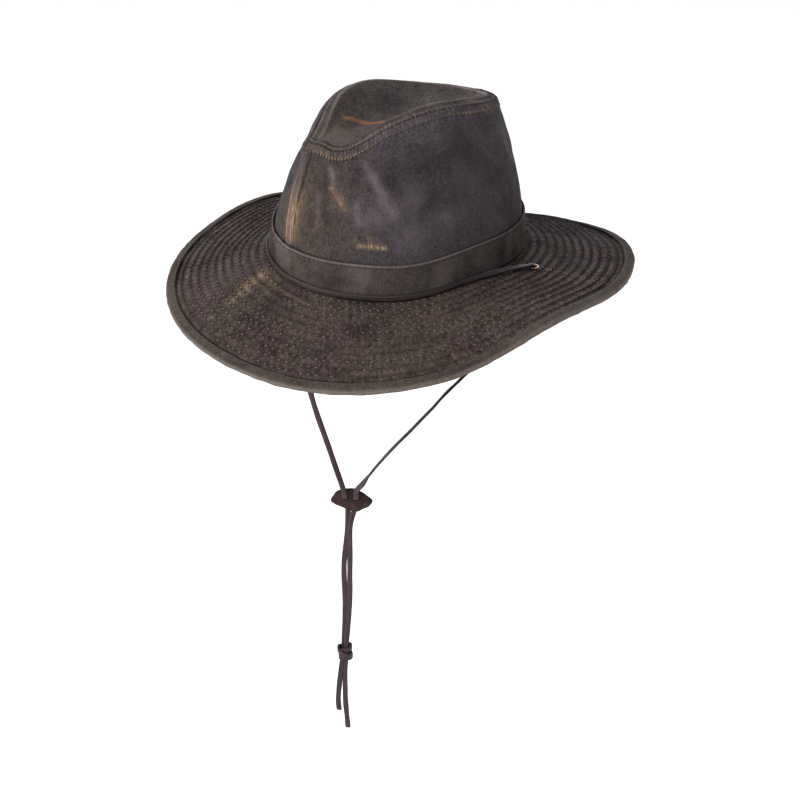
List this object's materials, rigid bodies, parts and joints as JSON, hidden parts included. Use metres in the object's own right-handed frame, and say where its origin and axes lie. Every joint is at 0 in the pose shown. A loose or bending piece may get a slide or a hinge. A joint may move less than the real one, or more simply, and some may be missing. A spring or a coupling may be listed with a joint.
{
  "type": "bush hat",
  "caption": "Wide-brimmed weathered cotton bush hat with a pinched teardrop crown, self-fabric band, bound brim and a flat leather chin lace with slider and knot.",
  "frame": {"origin": "middle of the head opening, at the height of the brim break", "axes": "front of the hat faces -Y, its left side +X, up +Z"},
  "size_m": [0.3186, 0.3441, 0.521],
  "materials": {
    "crown_cloth": "weathered waxed cotton, soft sheen",
    "brim_cloth": "weathered cotton, stitched in rows round the brim",
    "binding_cloth": "folded cotton binding",
    "band_cloth": "folded cotton band",
    "lace_leather": "flat cut lace, satin",
    "slider_leather": "thick cut leather, satin",
    "eyelet_metal": "aged"
  },
  "bodies": {
    "root": {"crown_side_left": "crown_cloth", "crown_side_right": "crown_cloth", "crown_tip": "crown_cloth", "brim": "brim_cloth", "brim_binding": "binding_cloth", "hat_band": "band_cloth", "eyelet_left": "eyelet_metal", "eyelet_right": "eyelet_metal", "crown_lace": "lace_leather", "cord_left": "lace_leather", "cord_right": "lace_leather", "cord_slider": "slider_leather", "cord_knot": "lace_leather"}
  },
  "joints": []
}
